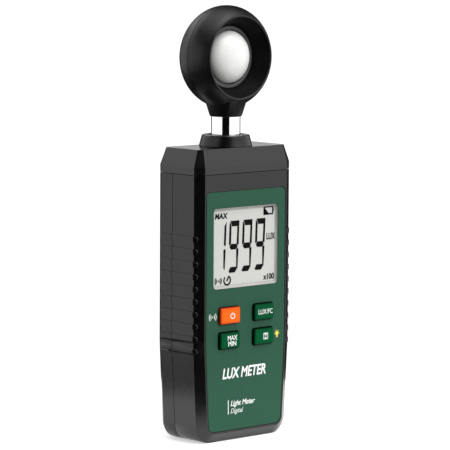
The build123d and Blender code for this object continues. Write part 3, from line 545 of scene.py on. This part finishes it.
def make_head_rear():
    """The domed rear shell, with recesses for its screws."""
    outer = [(-y, r) for y, r in ellipse_points(head_back, head_r, 89.5, 1.5, 60)]
    back_wall = ellipse_points(head_back - head_wall, head_r - head_wall, 1.5, 84, 40)
    inner = [(-y, r) for y, r in back_wall]
    # A tongue inside the seam keeps light from showing through it.
    reach, tongue_r = 1.5, head_r - head_wall - 0.2
    tongue_in_r = tongue_r - 0.8
    tongue = [(reach, tongue_in_r), (-reach, tongue_in_r), (-reach, tongue_r), (seam_half, tongue_r)]
    mesh = bmesh.new()
    lathe(mesh, outer + inner + tongue, "Y", 192)
    rear = new_piece("head_rear", mesh, "head_shell", "head", ["head_rear_shell"])
    joined(rear, head_collar(1), "UNION")
    cut_start_y, cut_depth = 7, 16
    for x, z in head_screw_places():
        mesh = bmesh.new()
        middle = Matrix.Translation((x, cut_start_y + cut_depth / 2, z))
        bmesh.ops.create_cone(mesh, cap_ends=True, segments=40, radius1=screw_recess_r,
                              radius2=screw_recess_r, depth=cut_depth,
                              matrix=middle @ Matrix.Rotation(pi / 2, 4, "X"))
        joined(rear, loose("screw_recess", mesh), "DIFFERENCE")
    resmooth(rear)


def head_screw_places():
    """The (x, z) of each of the four screws, from their group's box."""
    low, high = box_mm("head_screws")
    return [(x, z) for x in (low.x + screw_head_r, high.x - screw_head_r)
            for z in (low.z + screw_head_r, high.z - screw_head_r)]


def make_dome():
    """The opal dome, with a closed underside where its flange starts."""
    depth = -dome_low.y + bowl_floor_y
    points = [(dome_low.y + depth * (1 - cos(a)), dome_r * sin(a)) for a in angles(0.6, 90, 40)]
    inside = [(bowl_floor_y + 1.2, dome_r), (bowl_floor_y + 1.2, 0.12)]
    mesh = bmesh.new()
    lathe(mesh, points + inside, "Y")
    new_piece("dome", mesh, "dome", "head", ["diffuser_dome"], smooth_angle=50)


def make_bowl_ring():
    """The grey ring round the dome."""
    y, inner_r, outer_r = bowl_floor_y, dome_r + 0.6, bowl_floor_r - 0.2
    outside = [(y, outer_r), (y - 0.45, outer_r + 0.25), (y - 0.65, outer_r + 0.05),
               (y - 0.7, outer_r - 0.3)]
    inside = [(y - 0.7, inner_r + 0.3), (y - 0.62, inner_r + 0.1), (y - 0.4, inner_r), (y, inner_r)]
    mesh = bmesh.new()
    lathe(mesh, outside + inside, "Y")
    new_piece("dome_ring", mesh, "ring_grey", "head", ["bowl_ring"])


def make_neck():
    """The chromed tube, with its ends chamfered, and the base collar it stands in."""
    low, high, r, chamfer = neck_low.z, neck_high.z, neck_r, 0.3
    mesh = bmesh.new()
    lathe(mesh, [(low, neck_bore_r), (low, r - chamfer), (low + chamfer, r), (high - chamfer, r),
                 (high, r - chamfer), (high, neck_bore_r)], "Z")
    new_piece("neck", mesh, "neck_chrome", "head", ["neck_tube"])

    low, high = cap_high.z + 0.05, collar_high.z
    foot_r, top_r, edge = collar_high.x, collar_top_r, 0.7
    outside = [(low, collar_bore_r), (low, foot_r - 0.1), (low + 0.2, foot_r), (high - edge, top_r)]
    shoulder = [(high - edge + edge * sin(a), top_r - edge + edge * cos(a)) for a in angles(6, 90, 8)]
    mouth = [(high, 9.0), (high - 0.25, 8.6), (high - 0.3, collar_bore_r)]
    mesh = bmesh.new()
    lathe(mesh, outside + shoulder + mouth, "Z")
    new_piece("base_collar", mesh, "collar", "case", ["neck_collar"])


# ---------------------------------------------------------------- printing
CAPITAL_SHARE = 0.7  # a capital's height over the font's size


class Print:
    """Flat marks of one ink on a plane that faces -Y, gathered into one piece."""

    def __init__(self, y, thickness=0.05):
        self.mesh = bmesh.new()
        self.back, self.front = y + 0.02, y - thickness

    def shape(self, points):
        """A filled outline of (x, z) points."""
        add_loops(self.mesh, [[(x, y, z) for x, z in points] for y in (self.back, self.front)])

    def stroke(self, points, width):
        """A line of even width along (x, z) points, with square ends."""
        left, right = [], []
        for k, (x, z) in enumerate(points):
            x0, z0 = points[max(k - 1, 0)]
            x1, z1 = points[min(k + 1, len(points) - 1)]
            length = sqrt((x1 - x0) ** 2 + (z1 - z0) ** 2)
            nx, nz = -(z1 - z0) / length * width / 2, (x1 - x0) / length * width / 2
            left.append((x + nx, z + nz))
            right.append((x - nx, z - nz))
        for k in range(len(points) - 1):
            self.shape([left[k], left[k + 1], right[k + 1], right[k]])

    def arc(self, x, z, radius, start, end, width, count=24):
        """An arc of even width about (x, z), from start to end degrees."""
        self.stroke(arc_points((x, z), radius, start, end, count), width)

    def disc(self, x, z, radius):
        """A filled dot about (x, z)."""
        self.shape(arc_points((x, z), radius, 0, 345, 24))

    def text(self, words, x, z, height, bold=0.0, lean=0.0, align="CENTER", squeeze=1.0):
        """Plain lettering with capitals of this height; x is its centre or left end, z its foot."""
        curve = bpy.data.curves.new("words", "FONT")
        curve.body = words
        curve.align_x = align
        curve.size = height / CAPITAL_SHARE
        curve.offset = bold
        curve.shear = lean
        curve.extrude = (self.back - self.front) / 2
        holder = bpy.data.objects.new("words", curve)
        bpy.context.scene.collection.objects.link(holder)
        bpy.context.view_layer.update()
        shown = holder.evaluated_get(bpy.context.evaluated_depsgraph_get())
        data = bpy.data.meshes.new_from_object(shown)
        upright = Matrix.Rotation(pi / 2, 4, "X") @ Matrix.Diagonal((squeeze, 1, 1, 1))
        data.transform(Matrix.Translation((x, (self.back + self.front) / 2, z)) @ upright)
        self.mesh.from_mesh(data)
        bpy.data.objects.remove(holder)
        bpy.data.meshes.remove(data)

    def done(self, name, ink, body):
        """Makes the marks a piece of this ink's material."""
        piece = new_piece(name, self.mesh, ink, body)


# ---------------------------------------------------------------- display
SEGMENTS = {"1": "bc", "9": "abcdfg"}
DIGIT_LEAN = 0.04  # sideways step over height


def digit(ink, number, x, z, width, height):
    """One seven-segment figure whose lower left corner is at (x, z)."""
    bar, thin = 2.8, 1.55  # the thickness of the level segments and of the upright ones
    middle = height / 2
    corners = {
        "a": [(0.5, height), (width, height), (width - thin * 0.9, height - bar),
              (thin * 1.1, height - bar)],
        "g": [(0.5, middle), (thin, middle + bar / 2), (width - thin, middle + bar / 2),
              (width - 0.5, middle), (width - thin, middle - bar / 2), (thin, middle - bar / 2)],
        "d": [(0.4, bar * 0.3), (thin, bar), (width - thin * 0.8, bar), (width - 0.6, bar * 0.6),
              (width - thin * 1.2, 0), (thin * 0.6, 0)],
        "b": [(width - thin * 0.85, middle + 1.2), (width - 0.4, middle + 0.5), (width, middle + 1.2),
              (width, height - 0.2), (width - thin * 0.8, height - bar * 0.8)],
        "c": [(width - thin * 0.7, bar * 0.9), (width - 0.2, bar * 0.6), (width, middle - 1.4),
              (width - 0.35, middle - 0.7), (width - thin * 0.95, middle - 1.4)],
        "f": [(thin * 0.9, middle + 1.3), (0.3, middle + 0.6), (0, middle + 1.2), (0, height - 1.2),
              (0.4, height - 0.6), (thin * 0.85, height - bar * 0.9)],
    }
    for name in SEGMENTS[number]:
        ink.shape([(x + px + DIGIT_LEAN * pz, z + pz) for px, pz in corners[name]])


def make_display():
    """A pale dished window, its display face and the segments."""
    width, height, corner = display_width - 0.1, display_height - 0.2, 2.2
    dish, depth = 1.55, face_y + 0.2 - front_y
    rim = [(0, window_high.y - 1), (0, front_y + 0.35), (0.06, front_y + 0.18)]
    slope = [(0.15 + dish * (1 - cos(a)), front_y + 0.1 + (depth - 0.1) * sin(a))
             for a in angles(0, 90, 10)]
    mesh = bmesh.new()
    stack(mesh, width, height, corner, rim + slope, z=display_z)
    window = new_piece("display_surround", mesh, "window", "case", ["display_window"], smooth_angle=60)
    face = front_y + depth - 0.02
    mesh = bmesh.new()
    stack(mesh, width - 2 * dish, height - 2 * dish, 0.8, [(0, face + 0.3), (0, face)], z=display_z)
    new_piece("display_face", mesh, "display", "case")

    # The marks' x values suit a face 2 mm behind the label; the camera sees a deeper face shifted.
    def across(x):
        return x + (face - front_y - 2.0) * tan(view_turn)

    ink = Print(face, 0.07)
    for number, x in (("1", -18.85), ("9", -10.3), ("9", -1.5), ("9", 7.3)):
        digit(ink, number, across(x), z=83.7, width=6.5, height=25.6)
    ink.text("MAX", across(-19.25), 110.8, 2.6, bold=0.15, lean=0.15, align="LEFT")
    ink.text("LUX", across(15.5), 98.5, 3.1, bold=0.14, align="LEFT", squeeze=0.68)
    ink.text("x100", across(13.8), 78.6, 2.7, bold=0.14, align="LEFT", squeeze=0.92)
    # Battery symbol, half full.
    x, z = across(17.0), 112.9
    left, right, low, high, line = x - 3.2, x + 2.7, z - 1.8, z + 1.8, 0.75
    ink.stroke([(left, low), (left, high)], line)
    ink.stroke([(right, low), (right, high)], line)
    for level in (low, high):
        ink.stroke([(left - line / 2, level), (right + line / 2, level)], line)
    ink.shape([(left, low), (left, high), (left + 3.6, low)])
    ink.stroke([(right + 0.5, z - 0.8), (right + 0.5, z + 0.8)], 0.55)
    # Radio and timer symbols.
    x, z = across(-16.7), 80.1
    ink.disc(x, z, 0.4)
    for side in (0, 180):
        ink.arc(x, z, 1.2, side - 45, side + 45, 0.5)
        ink.arc(x, z, 2.1, side - 45, side + 45, 0.6)
    x = across(-10.75)
    ink.arc(x, z, 2.15, 130, 420, 0.85, 40)
    ink.stroke([(x - 0.3, z - 0.4), (x + 1.1, z + 2.1)], 0.9)
    ink.done("display_segments", "ink_dark", "case")


# ---------------------------------------------------------------- keys and label
def make_key(name, slot):
    """A key: flange behind the label, straight sides, rounded rim and a gently crowned top."""
    low, high = box_mm(f"{name}_key")
    x, z, top = (low.x + high.x) / 2, (low.z + high.z) / 2, low.y
    flange, flange_back, flange_front = 1, -12.2, -13.2
    width, height = high.x - low.x - 2 * flange, high.z - low.z - 2 * flange
    foot = [(-flange, flange_back), (-flange, flange_front), (0, flange_front)]
    rim = 0.85
    rounding = [(rim * (1 - cos(a)), top + 0.12 + rim * (1 - sin(a))) for a in angles(0, 90, 11)]
    crown = [(0.9, top + 0.05), (1.8, top + 0.012), (3.0, top)]
    mesh = bmesh.new()
    stack(mesh, width, height, 1.1, foot + rounding + crown, x, z)
    new_piece(f"{name}_keycap", mesh, slot, f"{name}_key", [f"{name}_key"])
    return x, z, top


def make_keys():
    """The four keys and the marks on their tops."""
    x, z, top = make_key("power", "key_orange")
    ink = Print(top + 0.01, 0.03)
    ink.arc(x + 1.2, z - 0.1, 1.35, 125, 415, 0.5, 40)
    ink.stroke([(x + 1.2, z + 0.2), (x + 1.2, z + 1.6)], 0.5)
    ink.done("power_mark", "ink_white", "power_key")

    x, z, top = make_key("unit", "key_green")
    ink = Print(top + 0.01, 0.03)
    ink.text("LUX", x - 1.6, z - 1.1, 2.4, bold=0.03, squeeze=0.86)
    ink.stroke([(x + 1.55, z - 1.2), (x + 1.9, z + 1.3)], 0.2)
    ink.text("FC", x + 3.8, z - 1.1, 2.4, bold=0.04, squeeze=0.82)
    ink.done("unit_mark", "ink_white", "unit_key")

    x, z, top = make_key("max_min", "key_green")
    ink = Print(top + 0.01, 0.03)
    ink.text("MAX", x + 1.0, z + 0.15, 2.3, bold=0.09, squeeze=0.9)
    ink.text("MIN", x + 1.0, z - 2.7, 2.3, bold=0.09, squeeze=0.95)
    ink.done("max_min_mark", "ink_white", "max_min_key")

    x, z, top = make_key("hold", "key_green")
    ink = Print(top + 0.01, 0.03)
    ink.shape([(x - 0.7, z - 1.6), (x + 2.3, z - 1.6), (x + 2.3, z + 1.6), (x - 0.7, z + 1.6)])
    ink.done("hold_mark", "ink_white", "hold_key")
    ink = Print(top - 0.02, 0.03)
    ink.text("H", x + 0.8, z - 1.1, 2.2, bold=0.14)
    ink.done("hold_letter", "ink_dark", "hold_key")


def make_label_marks():
    """The white printing on the face label, and the yellow lamp on it."""
    ink = Print(front_y)
    x, z = -22.0, 62.9
    ink.disc(x, z, 0.38)
    for side in (0, 180):
        ink.arc(x, z, 1.35, side - 45, side + 45, 0.38)
        ink.arc(x, z, 2.3, side - 45, side + 45, 0.38)
    ink.text("LUX METER", -0.9, 31.6, 5.0, bold=0.2, lean=0.2, squeeze=0.79)
    ink.stroke([(-11.3, 13.6), (-11.3, 20.6)], 0.45)
    ink.text("Light Meter", -9.9, 17.6, 2.6, bold=0.06, lean=0.3, align="LEFT", squeeze=0.92)
    ink.text("Digital", -9.9, 13.9, 2.4, lean=0.3, align="LEFT", squeeze=0.92)
    ink.done("label_print", "ink_white", "case")

    lamp = Print(front_y)
    x, z = 21.4, 50.6
    lamp.disc(x, z + 0.4, 1.1)
    lamp.stroke([(x, z - 1.6), (x, z - 0.5)], 1.0)
    for a in angles(0, 180, 5):
        lamp.stroke([(x + r * cos(a), z + 0.4 + r * sin(a)) for r in (1.4, 1.8)], 0.35)
    lamp.done("lamp_mark", "ink_yellow", "case")


# ---------------------------------------------------------------- camera, lights and floor
def make_camera():
    """A long lens from the left of the front, with the meter in the frame as in the photo."""
    flat = cos(view_rise)
    back = Vector((-sin(view_turn) * flat, -cos(view_turn) * flat, sin(view_rise)))
    level = Vector((cos(view_turn), -sin(view_turn), 0))
    upright = back.cross(level)
    right = level * cos(view_roll) + upright * sin(view_roll)
    up = upright * cos(view_roll) - level * sin(view_roll)
    lift, shift = 0.10482, 0.00062  # metres up and right of the line of sight through the origin
    facing = Matrix((right, up, back)).transposed().to_4x4()
    camera = bpy.data.objects.new("camera", bpy.data.cameras.new("camera"))
    camera.data.sensor_width = 36
    camera.data.lens = view_lens
    camera.data.clip_start, camera.data.clip_end = 0.05, 30
    camera.matrix_world = Matrix.Translation(back * view_distance + up * lift + right * shift) @ facing
    bpy.context.scene.collection.objects.link(camera)
    bpy.context.scene.camera = camera


def panel_light(name, azimuth, elevation, distance, width, height, radiance, aim_z):
    """A soft panel that looks at the meter from azimuth (0 is in front, 90 is to the right)."""
    a, e = radians(azimuth), radians(elevation)
    away = Vector((sin(a) * cos(e), -cos(a) * cos(e), sin(e)))
    data = bpy.data.lights.new(name, "AREA")
    data.shape = "RECTANGLE"
    data.size, data.size_y = width, height
    data.energy = radiance * pi * width * height
    light = bpy.data.objects.new(name, data)
    light.visible_camera = False
    light.location = away * distance + Vector((0, 0, aim_z))
    light.rotation_euler = (-away).to_track_quat("-Z", "Y").to_euler()
    bpy.context.scene.collection.objects.link(light)


def make_table():
    """A small white table that glows a little, so that its edge hardly shows against the white."""
    radius, middle = 0.13, (0.03, 0.032, 0)
    mesh = bmesh.new()
    bmesh.ops.create_circle(mesh, cap_ends=True, segments=96, radius=radius)
    bmesh.ops.translate(mesh, verts=mesh.verts, vec=middle)
    data = bpy.data.meshes.new("table")
    mesh.to_mesh(data)
    mesh.free()
    white = surface("table_white", (0.90, 0.90, 0.90), 0.9, 40, 0.01, variation=0.01)
    shader = white.node_tree.nodes["Principled BSDF"]
    shader.inputs["Emission Color"].default_value = (1, 1, 1, 1)
    shader.inputs["Emission Strength"].default_value = 0.5
    data.materials.append(white)
    table = bpy.data.objects.new("table", data)
    bpy.context.scene.collection.objects.link(table)


def make_world():
    """White where the camera sees past the table, and almost black for every other ray."""
    world = bpy.data.worlds.new("studio")
    bpy.context.scene.world = world
    world.use_nodes = True
    tree = world.node_tree
    tree.nodes.clear()
    output = tree.nodes.new("ShaderNodeOutputWorld")
    mix = tree.nodes.new("ShaderNodeMixShader")
    rays = tree.nodes.new("ShaderNodeLightPath")
    for socket, grey, strength in ((1, 0.003, 1.0), (2, 1.0, 1.1)):
        background = tree.nodes.new("ShaderNodeBackground")
        background.inputs["Color"].default_value = (grey, grey, grey, 1)
        background.inputs["Strength"].default_value = strength
        tree.links.new(background.outputs["Background"], mix.inputs[socket])
    tree.links.new(rays.outputs["Is Camera Ray"], mix.inputs["Fac"])
    tree.links.new(mix.outputs["Shader"], output.inputs["Surface"])


def make_lights():
    """A soft wall on each side, soft panels above and behind, and nothing behind the camera."""
    # name, azimuth, elevation, distance, width, height, radiance, height it looks at
    panel_light("left_wall", -127, 0, 0.9, 2.7, 0.9, 1.1, 0.28)
    panel_light("right_wall", 43, 0, 0.9, 2.7, 1.4, 1.2, 0.3)
    panel_light("key", 22, 52, 1.3, 1.0, 1.0, 5.0, 0.11)
    panel_light("top", -42, 88, 1.2, 1.2, 1.2, 1.6, 0.11)
    panel_light("back_top", -172, 41, 1.5, 1.3, 0.8, 2.2, 0.11)
    panel_light("back_right", 146, 8, 1.6, 0.75, 0.4, 0.9, 0.15)


finish_cad_nodes()
for node in ("front_shell", "rear_shell", "top_cap", "battery_door"):
    round_edges(node, 0.3)
round_edges("face_label", 0.08, 2)
make_head_front()
make_head_rear()
make_dome()
make_bowl_ring()
make_neck()
make_display()
make_keys()
make_label_marks()
make_camera()
make_table()
make_world()
make_lights()
bpy.context.scene.view_settings.view_transform = "Standard"
